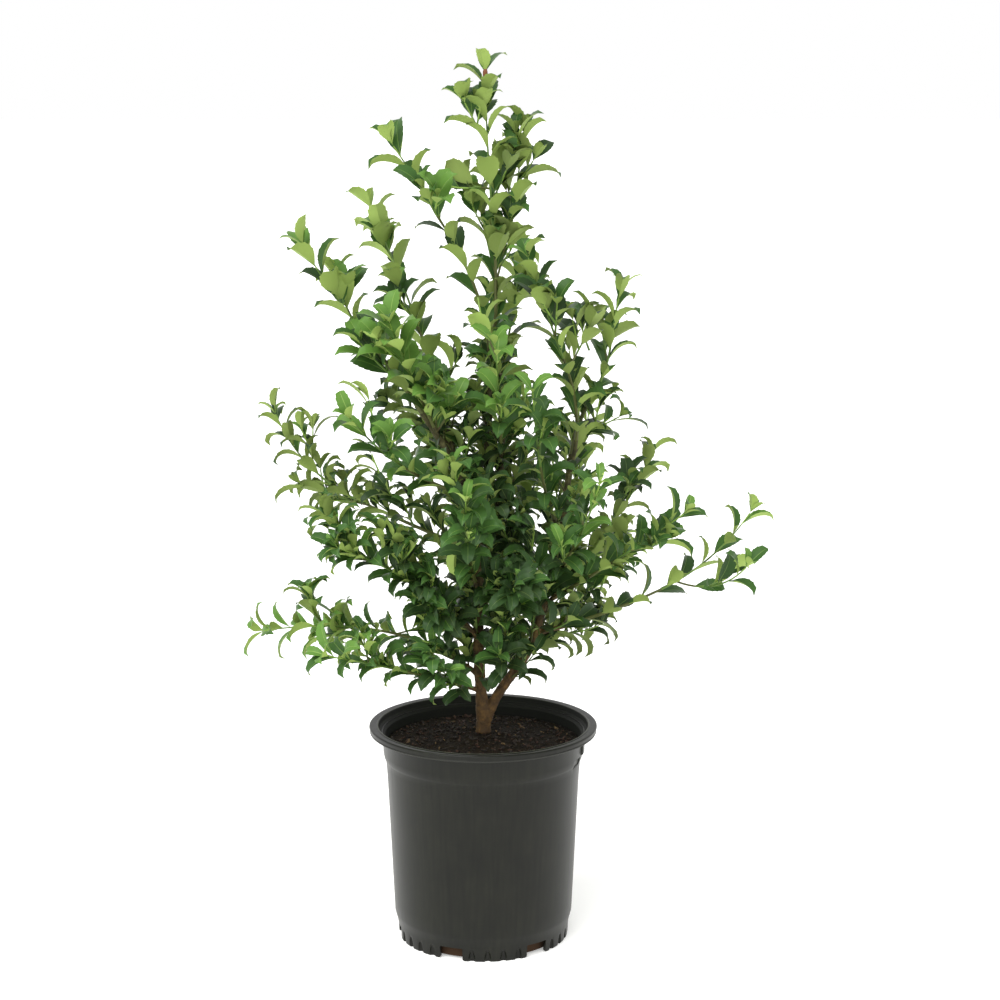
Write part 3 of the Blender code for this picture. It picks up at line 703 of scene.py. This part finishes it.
# Each piece of bark: name, limbs, what their nodes' names begin with, sides, and depth of the cracks
bark_groups = [("bark_trunk", ["trunk"], "", 22, 0.0012)]
bark_groups += [("bark_stem_" + name, [name], "stem_", 18, 0.0008) for name in STEMS]
bark_groups.append(("bark_boughs", boughs, "bough_", 10, 0.0003))
for name, members, prefix, sides, relief in bark_groups:
    wood = Bundle()
    for limb in (limbs[member] for member in members):
        count = max(FEWEST_RINGS, int(limb.length * limb.bare / RING_SPACING))
        shares = np.linspace(0, limb.bare, count)
        shell, shell_faces = tube([point_at(limb.path, share) for share in shares],
                                  [limb.bark_radius(share) for share in shares], sides)
        cut = sides if limb.name == "pruned" else 0
        wood.add(shell, shell_faces, [0] * (len(shell_faces) - cut) + [1] * cut)
    piece = wood.piece(name, [bark, cut_wood] if "pruned" in members else [bark])
    cracks = bpy.data.textures.new(name + "_cracks", "STUCCI")
    cracks.noise_scale = CRACK_SIZE
    cracks.turbulence = 4.0
    apply_modifier(piece, "DISPLACE", texture=cracks, texture_coords="LOCAL", strength=relief)
    bpy.ops.object.shade_smooth()
    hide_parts(*[prefix + member for member in members])
    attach(piece, "root")

# Twigs and leaves
# Each bough carries on as the stem of its mass, with side twigs turned by the golden angle and finer twigs
# on those. Young shoots are green, older ones olive to brown. Leaves are leathery, with a narrow foot, their
# widest part past the middle, saw teeth and a spine at the tip, and they arch back from the shoot.

# Each mass: its seed, how far apart its leaves and twigs stand, how much fresher its leaves are and how much
# they arch, against the rule, and its shoots. Those are longer side twigs: place along the limb, length,
# bearing and rise at the foot, and how far the bearing swings by the tip.
MASSES = {
    "left": (350, 1.15, 0.12, 0.83),
    "right": (15, 1.1, -0.05, 1.15, (0.85, 0.078, 182, 10, 4)),
    "leader": (560, 1.1, -0.02, 1.15, (0.74, 0.036, 141, 1, -17)),
    "inner_left": (969, 1.3, 0.1, 1.15, (0.66, 0.046, 1, -2, -4), (0.54, 0.075, 34, 19, -9),
                   (0.5, 0.075, 46, 24, -9)),
    "high_left": (240, 1.15, 0.02, 0.98),
    "inner_right": (885, 1.3, -0.15, 0.83, (0.48, 0.055, 11, 57, -11)),
    "right_mid": (143, 1.15, -0.07, 0.75),
    "front_centre": (343, 1.27, 0.16, 1.13, (0.69, 0.042, 138, 1, -5), (0.28, 0.038, 63, 17, -20)),
    "right_low": (457, 1.15, 0.12, 0.57, (0.29, 0.056, 123, -8, -7), (0.3, 0.063, 33, 16, -20)),
    "right_long": (672, 1.94, 0.12, 0.57, (0.36, 0.049, 119, 50, -18)),
    "front_left": (674, 1.19, 0.07, 0.78, (0.86, 0.066, 41, 47, -3)),
    "left_mid": (780, 1.08, -0.1, 1.15, (0.29, 0.075, 288, 2, -3), (0.32, 0.038, 148, 25, 28)),
    "left_low": (820, 0.64, 0.18, 0.98, (0.83, 0.041, 167, 45, 25), (0.37, 0.037, 259, 27, 26),
                 (0.77, 0.044, 348, 38, 27)),
    "left_bottom": (896, 0.9, 0.44, 0.87, (0.37, 0.059, 332, -1, 14), (0.41, 0.039, 360, 13, 18)),
    "front_bottom": (687, 0.9, 0.4, 0.98),
    "front_low": (619, 1.07, 0.14, 0.82, (0.71, 0.076, 246, 62, 1), (0.58, 0.072, 114, -4, -18)),
    "front_right": (252, 1.4, 0.12, 0.98, (0.59, 0.051, 124, 61, 25)),
    "front_mid": (387, 1.4, 0.26, 0.98, (0.91, 0.061, 136, 53, -29), (0.44, 0.067, 25, 25, -28)),
    "front_young": (372, 0.62, 0.05, 0.83, (0.72, 0.071, 358, 40, -6), (0.39, 0.084, 171, 27, -29),
                    (0.7, 0.068, 283, 25, 10)),
    "back_low": (185, 1.15, 0.0, 1.13, (0.44, 0.079, 327, 30, -20), (0.85, 0.04, 22, 47, -15),
                 (0.19, 0.052, 27, -10, -18)),
    "back_right": (277, 1.3, 0.1, 0.82, (0.47, 0.046, 142, -7, -23), (0.51, 0.037, 240, 26, 25),
                   (0.3, 0.073, 130, -3, -18)),
    "back_mid": (171, 1.04, -0.15, 0.81, (0.47, 0.065, 257, 24, 17)),
    "back_left": (47, 1.0, -0.02, 0.81, (0.22, 0.081, 126, 48, 28), (0.66, 0.043, 284, 15, 7),
                  (0.2, 0.083, 31, 41, -18)),
    "back_bottom": (705, 0.66, 0.05, 1.15, (0.58, 0.073, 327, 26, -4), (0.72, 0.075, 183, 22, 3)),
    "back_top": (624, 1.0, 0.1, 0.96, (0.75, 0.083, 279, 9, 10), (0.39, 0.06, 230, 28, 26)),
    "front_inner": (496, 0.75, 0.02, 1.15, (0.25, 0.075, 279, 37, -3), (0.32, 0.054, 112, 9, 3)),
    "front_high": (753, 0.9, 0.2, 0.71, (0.5, 0.074, 140, 52, 24)),
}
GOLDEN_ANGLE = 137.5
TWIG_RADIUS = 0.0012
TWIG_TIP_RADIUS = 0.0007
TWIG_TAPER = 1.4
TWIG_ROOT_STEPS = 4  # steps of a twig's path that may be inside the wood
SPUR_ROOT_STEPS = PATH_STEPS // 2
TWIG_SIDES = 6
TWIG_RINGS = 0.007
FEWEST_TWIG_RINGS = 4
SIDE_TWIG_SPACING = 0.060
SIDE_TWIG_SPREAD = 48.0
SIDE_TWIG_SHORTEST = 0.020
SIDE_TWIG_SHARE = 0.34
SIDE_TWIG_REACHES = (0.6, 1.0)
SIDE_TWIG_LIFT = 0.45
FIRST_SIDE_TWIG = 0.45  # spacings up from its stem's foot
EXTRA_SPACINGS = 0.6  # in a stem's length, beyond one for each twig
FINE_TWIG_SPACING = 0.026
FIRST_FINE_TWIG = 0.7
FINE_TWIG_LENGTHS = (0.016, 0.034)
FINE_TWIG_LIGHT = 0.60  # finer twigs are in the shade inside the crown
SPUR_SPACING = 0.013
SPUR_LENGTHS = (0.018, 0.060)
SPUR_REACH = (0.11, 0.92)  # shares of a bare stem that have spurs
SHOOT_LIFT = 12.0  # degrees that a shoot's rise gains by its tip
BARE_FOOT_OF_STEM = 0.03
BARE_FOOT_OF_TWIG = 0.22
TWIG_END = 0.97  # share of a twig's path, so that its last leaves end with the mass
STEM_OVERLAP = 0.01  # share of a limb that its mass's stem starts below the bark's end
# How young each kind of twig is at its foot, and how much younger it gets towards its tip, in steps from
# brown through olive and green to fresh green
SPUR_YOUTH = 0.8
STEM_YOUTH = 1.1
SIDE_TWIG_YOUTH = 1.5
FINE_TWIG_YOUTH = 2.0
YOUTH_TO_TIP = 2
# Low down the leaves are small, slender and close, and high up they are broad and flat. Each pair is the
# value at the first and at the second of these heights. Leaves that arch more are slenderer as well.
LOW_AND_HIGH = (0.45, 0.70)
LEAF_LENGTHS = (0.0415, 0.0440)
LEAF_WIDTHS = (0.0148, 0.0234)
LEAF_SPACINGS = (0.0075, 0.0112)
LEAF_ARCHES = (95.0, 50.0)
WIDTH_BY_ARCH = -0.4
HEIGHT_PLACE = 0.6  # share of a twig's path where its height is taken
LEAF_THICK = 0.0004
MIDRIB_WIDTH = 0.0010
MIDRIB_TAPER = 1.1
NARROWEST_HALF = MIDRIB_WIDTH * 0.8
EVEN_ARCH = 0.35  # share of a leaf's arch that is even along it
LATE_ARCH = 2.5  # power of the rest, which comes late
HOOK_SHARPNESS = 8
LEAF_SPREAD = (26.0, 48.0)
LEAF_SIZES = (0.82, 1.08)
ARCH_SHARES = (0.55, 1.45)
LEAF_FOLDS = (8.0, 36.0)
TIP_HOOK = 40.0
LEAF_LIFT = 0.36
FACE_LIFT = 0.30
LEAF_CLEAR = 0.0006
LEAF_TRIES = ((1.0, 0), (1.0, 50), (1.0, -50), (0.88, 110), (0.80, 0), (0.70, -110), (0.60, 0))
TIP_LEAVES = 3
# How much closer to the twig, smaller and fresher the last of them is
TIP_CLOSER = 0.3
TIP_SMALLER = 0.45
TIP_FRESHER = 0.25
SHARP_FOLD = 50.0
# Rings along a leaf: share of its length, half width as a share of the widest, and how far the tooth there
# leans ahead of the ring, as a share of the length
LEAF_RINGS = (
    (0.07, 0.08, 0.0), (0.16, 0.34, 0.0), (0.28, 0.70, 0.015), (0.32, 0.73, 0.0),
    (0.41, 0.96, 0.02), (0.45, 0.91, 0.0), (0.54, 1.03, 0.02), (0.58, 0.93, 0.0),
    (0.67, 0.94, 0.02), (0.71, 0.81, 0.0), (0.80, 0.69, 0.02), (0.85, 0.46, 0.0),
)
ring_shares, ring_widths, ring_leans = np.array(LEAF_RINGS).T
LEAF_TESTS = [20, 23, 40, 43, -1]  # corners on both edges and the tip
LEAF_FACES, LEAF_PARTS = [], []
UPPER, VEIN, UNDER = 0, 1, 2
RING_PARTS = (UPPER, VEIN, UPPER, UNDER, UNDER)
RING_SIDES = len(RING_PARTS)
for ring in range(0, (len(LEAF_RINGS) - 1) * RING_SIDES, RING_SIDES):
    for side, part in enumerate(RING_PARTS):
        near, far = ring + side, ring + (side + 1) % RING_SIDES
        LEAF_FACES.append((near, far, far + RING_SIDES, near + RING_SIDES))
        LEAF_PARTS.append(part)
leaf_foot = RING_SIDES * len(LEAF_RINGS)
last_ring = leaf_foot - RING_SIDES
for side, part in enumerate(RING_PARTS):
    following = (side + 1) % RING_SIDES
    LEAF_FACES.append((leaf_foot, following, side))
    LEAF_FACES.append((leaf_foot + 1, last_ring + side, last_ring + following))
    LEAF_PARTS += [part, part]


def side_vectors(direction):
    """Two vectors square to a direction, the first as level as can be."""
    level = np.cross(direction, (0, 0, 1))
    if np.linalg.norm(level) < 0.05:
        level = np.array((1.0, 0.0, 0.0))
    level /= np.linalg.norm(level)
    return level, np.cross(level, direction)


def leaf_frame(direction, turn, spread):
    """Which way a leaf points and which way its upper side faces, for a turn about its twig."""
    level, over = side_vectors(direction)
    out = math.cos(turn) * level + math.sin(turn) * over
    points_to = math.cos(spread) * direction + math.sin(spread) * out + np.array((0, 0, LEAF_LIFT))
    points_to /= np.linalg.norm(points_to)
    face = math.sin(spread) * direction - math.cos(spread) * out + np.array((0, 0, FACE_LIFT))
    face -= points_to * face.dot(points_to)
    return points_to, face / np.linalg.norm(face)


def leaf_corners(root, points_to, face, length, width, arch, fold):
    """A leaf that arches back, mostly in its outer half, with a hooked tip and a fold along its midrib."""
    shares = np.concatenate([[0.0], ring_shares, [1.0]])
    bends = arch * (EVEN_ARCH * shares + (1 - EVEN_ARCH) * shares ** LATE_ARCH)
    bends += math.radians(TIP_HOOK) * shares ** HOOK_SHARPNESS
    ahead = np.cos(bends)[:, None] * points_to - np.sin(bends)[:, None] * face
    above = np.cos(bends)[:, None] * face + np.sin(bends)[:, None] * points_to
    steps = np.diff(shares)[:, None] * length * (ahead[1:] + ahead[:-1]) / 2
    middles = root + np.vstack([np.zeros(3), np.cumsum(steps, axis=0)])
    aside = np.cross(face, points_to)
    half = np.maximum(ring_widths * width / 2, NARROWEST_HALF)[:, None]
    strip = MIDRIB_WIDTH / 2 * (MIDRIB_TAPER - ring_shares)[:, None]
    inner, ahead, above = middles[1:-1], ahead[1:-1], above[1:-1]
    lean = ring_leans[:, None] * length * ahead
    raised = half * math.sin(fold) * above + lean
    flat = half * math.cos(fold) * aside
    rings = np.stack([inner + raised + flat, inner + strip * aside, inner - strip * aside,
                      inner + raised - flat, inner - LEAF_THICK * above], axis=1)
    return np.vstack([rings.reshape(-1, 3), middles[0], middles[-1]])


class Space:
    """Which points belong to which mass: each belongs to the mass whose stem is nearest."""

    def __init__(self, limbs, forks):
        stems, self.owners = [], []
        for limb in limbs.values():
            if limb.bare < 1:
                own = np.vstack([limb.leafy_path] + [path for path, _ in forks.get(limb.name, ())])
                stems.append(own)
                self.owners += [limb.name] * len(own)
        self.stems = np.vstack(stems)
        self.owners = np.array(self.owners)
        wood = [(limb, share) for limb in limbs.values() for share in np.linspace(0, limb.bare, PATH_STEPS)]
        self.wood = np.array([point_at(limb.path, share) for limb, share in wood])
        self.wood_radii = np.array([limb.radius(share) for limb, share in wood])

    def holds(self, name, points):
        """Whether every point is in the mass's own space, clear of the wood and of the pot."""
        away = np.linalg.norm(points[:, None] - self.stems[None], axis=2)
        own = self.owners == name
        apart = away[:, ~own].min(axis=1) - away[:, own].min(axis=1)
        return apart.min() > 2 * LEAF_CLEAR and self.is_free(points)

    def is_free(self, points):
        """Whether every point is clear of the wood and of the pot."""
        clear = np.linalg.norm(points[:, None] - self.wood[None], axis=2) - self.wood_radii
        above_pot = points[:, 2] > POT_HEIGHT + LEAF_CLEAR
        inside_mouth = np.hypot(points[:, 0], points[:, 1]) < BAND_RADIUS - 4 * LEAF_CLEAR
        above_soil = points[:, 2] > SOIL_TOP + 4 * LEAF_CLEAR
        return clear.min() > 2 * LEAF_CLEAR and (above_pot | (inside_mouth & above_soil)).all()


def heading_of(vector):
    vector = vector / np.linalg.norm(vector)
    return math.degrees(math.atan2(vector[1], vector[0])), math.degrees(math.asin(vector[2]))


def twig_from(path, share, turn, length):
    """A twig that leaves a stem at a turn about it and bends up to the light."""
    out, _ = leaf_frame(direction_at(path, share), math.radians(turn), math.radians(SIDE_TWIG_SPREAD))
    headings = [heading_of(out), heading_of(out + np.array((0, 0, SIDE_TWIG_LIFT)))]
    return grow_path(point_at(path, share), headings, length), length


def shoot_from(path, share, length, bearing, rise, swing):
    """A longer side twig that turns and rises as it grows."""
    headings = ((bearing, rise), ((bearing + swing) % 360, rise + SHOOT_LIFT))
    return grow_path(point_at(path, share), headings, length), length


def twigs_along(path, shares, length_at, chance):
    """Twigs at these shares of a stem, turned round it by the golden angle: (path, length) of each."""
    turn = chance.uniform(0, 360)
    twigs = []
    for share in shares:
        turn += GOLDEN_ANGLE
        twigs.append(twig_from(path, share, turn, length_at(share)))
    return twigs


def side_twigs(path, length, apart, chance):
    """The short twigs off a stem, shorter towards its tip."""
    count = int(length / (SIDE_TWIG_SPACING * apart))
    shares = [(number + FIRST_SIDE_TWIG) / (count + EXTRA_SPACINGS) for number in range(count)]
    return twigs_along(path, shares, lambda share: SIDE_TWIG_SHORTEST + (
        SIDE_TWIG_SHARE * length * (1 - share) * chance.uniform(*SIDE_TWIG_REACHES)), chance)


def fine_twigs(path, length, apart, chance):
    """The finest twigs, off a side twig."""
    count = int(length / (FINE_TWIG_SPACING * apart))
    shares = [(number + FIRST_FINE_TWIG) / (count + FIRST_FINE_TWIG) for number in range(count)]
    return twigs_along(path, shares, lambda share: chance.uniform(*FINE_TWIG_LENGTHS), chance)


# Leaf tones by age and by the light a leaf gets, each with its upper side, vein and underside: waxy and dark
# above, matt and pale below. Picking them from the light is painted shade: leaves deep in the crown get
# darker tones.
LEAF_TONES = (
    ("old", "324528", "596A3D", "7E9153"),
    ("grown", "324A28", "5A713F", "879B53"),
    ("fresh", "3D5D2C", "698743", "8EA555"),
    ("young", "5C8139", "83A052", "9CB55F"),
)
leaf_materials = []
for age, *hexes in LEAF_TONES:
    for part, code, roughness in zip(("blade", "midrib", "underside"), hexes, (0.34, 0.42, 0.60)):
        leaf_materials.append(new_material(age + "_holly_leaf_" + part, Base_Color=linear(code),
                                           Roughness=roughness, Specular_IOR_Level=0.13))
twig_materials = [new_material(name, Base_Color=linear(code), Roughness=0.6)
                  for name, code in (("brown_twig_bark", "4C4524"), ("olive_twig_bark", "545A2A"),
                                     ("green_shoot", "5E7C32"), ("fresh_green_shoot", "7FA040"))]

CROWN_FOOT = 0.25
AGE_STEPS = (0.20, 0.48, 0.86)  # light that a leaf has, below which it is old, grown and fresh
LIGHT_BY_HEIGHT = 0.55
LIGHT_BY_REACH = 0.45
SPRAY_AGES = 0.12  # how much the sprays of a mass differ in it
LEAF_AGES = 0.14  # how much the leaves of a spray differ in it


def light_at(point):
    """About 0 in the shade at the crown's foot to 1 at its outside and top."""
    up = (point[2] - CROWN_FOOT) / (cad_high[2] - CROWN_FOOT)
    out = math.hypot(point[0], point[1]) / (cad_high[0] - cad_low[0]) * 2
    return LIGHT_BY_HEIGHT * up + LIGHT_BY_REACH * out


def add_leaves(leaves, fits, path, length, start, habit, chance):
    """The leaves up one twig. One that doesn't fit is tried smaller and turned, then left out."""
    apart, fresher, arched = habit
    up = point_at(path, HEIGHT_PLACE)[2]
    longest, widest, spacing, most_arch = (float(np.interp(up, LOW_AND_HIGH, values)) for values in (
        LEAF_LENGTHS, LEAF_WIDTHS, LEAF_SPACINGS, LEAF_ARCHES))
    widest *= arched ** WIDTH_BY_ARCH
    count = max(2, int(length * (1 - start) / (spacing * apart)))
    turn = chance.uniform(0, 360)
    spray_age = chance.gauss(fresher, SPRAY_AGES)
    for number in range(count + TIP_LEAVES):
        share = min(start + (TWIG_END - start) * number / count, TWIG_END)
        at_tip = max(0, number - count + 1) / TIP_LEAVES
        turn += GOLDEN_ANGLE
        spread = math.radians(chance.uniform(*LEAF_SPREAD) * (1 - TIP_CLOSER * at_tip))
        size = chance.uniform(*LEAF_SIZES) * (1 - TIP_SMALLER * at_tip)
        arch = math.radians(most_arch * arched * chance.uniform(*ARCH_SHARES))
        fold = math.radians(chance.uniform(*LEAF_FOLDS))
        root = point_at(path, share)
        # The tone is partly real age and partly painted light and shade from light_at: darker deep in the
        # crown, lighter at its top and outside.
        leaf_age_and_light = light_at(root) + chance.gauss(spray_age, LEAF_AGES) + TIP_FRESHER * at_tip
        for smaller, further in LEAF_TRIES:
            points_to, face = leaf_frame(direction_at(path, share), math.radians(turn + further), spread)
            corners = leaf_corners(root, points_to, face, longest * size * smaller, widest * size * smaller,
                                   arch, fold)
            if fits(corners[LEAF_TESTS]):
                age = int(np.searchsorted(AGE_STEPS, leaf_age_and_light))
                leaves.add(corners, LEAF_FACES, [3 * age + part for part in LEAF_PARTS])
                break


def add_twig(twigs, path, foot_radius, start, youth):
    """One tapering twig from a share of its path, browner at its foot than at its tip."""
    span = float(np.linalg.norm(np.diff(path, axis=0), axis=1).sum()) * (TWIG_END - start)
    shares = np.linspace(0, 1, max(FEWEST_TWIG_RINGS, int(span / TWIG_RINGS)))
    radii = TWIG_TIP_RADIUS + (foot_radius - TWIG_TIP_RADIUS) * (1 - shares) ** TWIG_TAPER
    places = start + (TWIG_END - start) * shares
    corners, faces = tube([point_at(path, place) for place in places], radii, TWIG_SIDES)
    bands = np.repeat(np.linspace(0, 1, len(shares) - 1), TWIG_SIDES)
    slots = np.clip((bands * YOUTH_TO_TIP + youth).astype(int), 0, len(twig_materials) - 1).tolist()
    twigs.add(corners, faces, slots + [slots[0]] * TWIG_SIDES + [slots[-1]] * TWIG_SIDES)


def spurs(limb, apart, chance):
    """Short leafy twigs on the bare wood of a stem or bough."""
    low, high = (share * limb.bare for share in SPUR_REACH)
    shares = np.arange(low, high, SPUR_SPACING * apart / limb.length)
    return twigs_along(limb.path, shares, lambda share: chance.uniform(*SPUR_LENGTHS), chance)


SPUR_STEMS = {"leader": ["leader", "pruned"]}  # the pruned stem's spurs go with the leader's mass
forks = {}
for name, place, length, headings in FORKS:
    path = grow_path(point_at(limbs[name].path, place), headings, length)
    forks.setdefault(name, []).append((path, length))
space = Space(limbs, forks)
for name, (seed, apart, fresher, arched, *shoots) in MASSES.items():
    habit = (apart, fresher, arched)
    limb = limbs[name]
    chance = random.Random(seed)
    leaves, twigs = Bundle(), Bundle()
    add_twig(twigs, limb.path, limb.radius(limb.bare), limb.bare - STEM_OVERLAP, STEM_YOUTH)
    fits = functools.partial(space.holds, name)
    add_leaves(leaves, fits, limb.leafy_path, limb.leafy_length, BARE_FOOT_OF_STEM, habit, chance)
    strong = forks.get(name, []) + [shoot_from(limb.path, *shoot) for shoot in shoots]
    strong += side_twigs(limb.leafy_path, limb.leafy_length, apart, chance)
    fine = [twig for path, length in strong for twig in fine_twigs(path, length, apart, chance)
            if light_at(twig[0][0]) < FINE_TWIG_LIGHT]
    for sprays, youth in ((strong, SIDE_TWIG_YOUTH), (fine, FINE_TWIG_YOUTH)):
        for path, length in sprays:
            if space.holds(name, path[TWIG_ROOT_STEPS:]):
                add_twig(twigs, path, TWIG_RADIUS, 0.0, youth)
                add_leaves(leaves, fits, path, length, BARE_FOOT_OF_TWIG, habit, chance)
    for stem in SPUR_STEMS.get(name, [name]):
        for path, length in spurs(limbs[stem], apart, chance):
            if space.is_free(path[SPUR_ROOT_STEPS:]):
                add_twig(twigs, path, TWIG_RADIUS, 0.0, SPUR_YOUTH)
                add_leaves(leaves, space.is_free, path, length, BARE_FOOT_OF_TWIG, habit, chance)
    for bundle, kind, materials, slot in ((leaves, "leaves_", leaf_materials, "leaf"),
                                          (twigs, "twigs_", twig_materials, "bark")):
        piece = bundle.piece(kind + name, materials)
        piece.data.shade_smooth()
        piece.data.set_sharp_from_angle(angle=math.radians(SHARP_FOLD))
        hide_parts("foliage_" + name)
        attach(piece, "root")

# Bud
# The leader ends in a fat reddish-brown bud, its scales closed for the winter. It sits on the twig's tip.
BUD_RADIUS = 0.0024
BUD_LENGTH = 0.0110
BUD_LIFT = BUD_LENGTH * 0.4  # of its middle over the twig's tip
bud_place = point_at(limbs["leader"].path, TWIG_END) + (0, 0, BUD_LIFT)
bpy.ops.mesh.primitive_uv_sphere_add(segments=12, ring_count=8, radius=1, location=bud_place.tolist(),
                                     scale=(BUD_RADIUS, BUD_RADIUS, BUD_LENGTH / 2))
bud = bpy.context.object
bud.name = "leader_bud"
bpy.ops.object.transform_apply(location=True, scale=True)
bpy.ops.object.shade_smooth()
bud.data.materials.append(new_material("reddish_bud_scales", Base_Color=linear("7A4420"), Roughness=0.55))
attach(bud, "root")

bpy.context.view_layer.update()
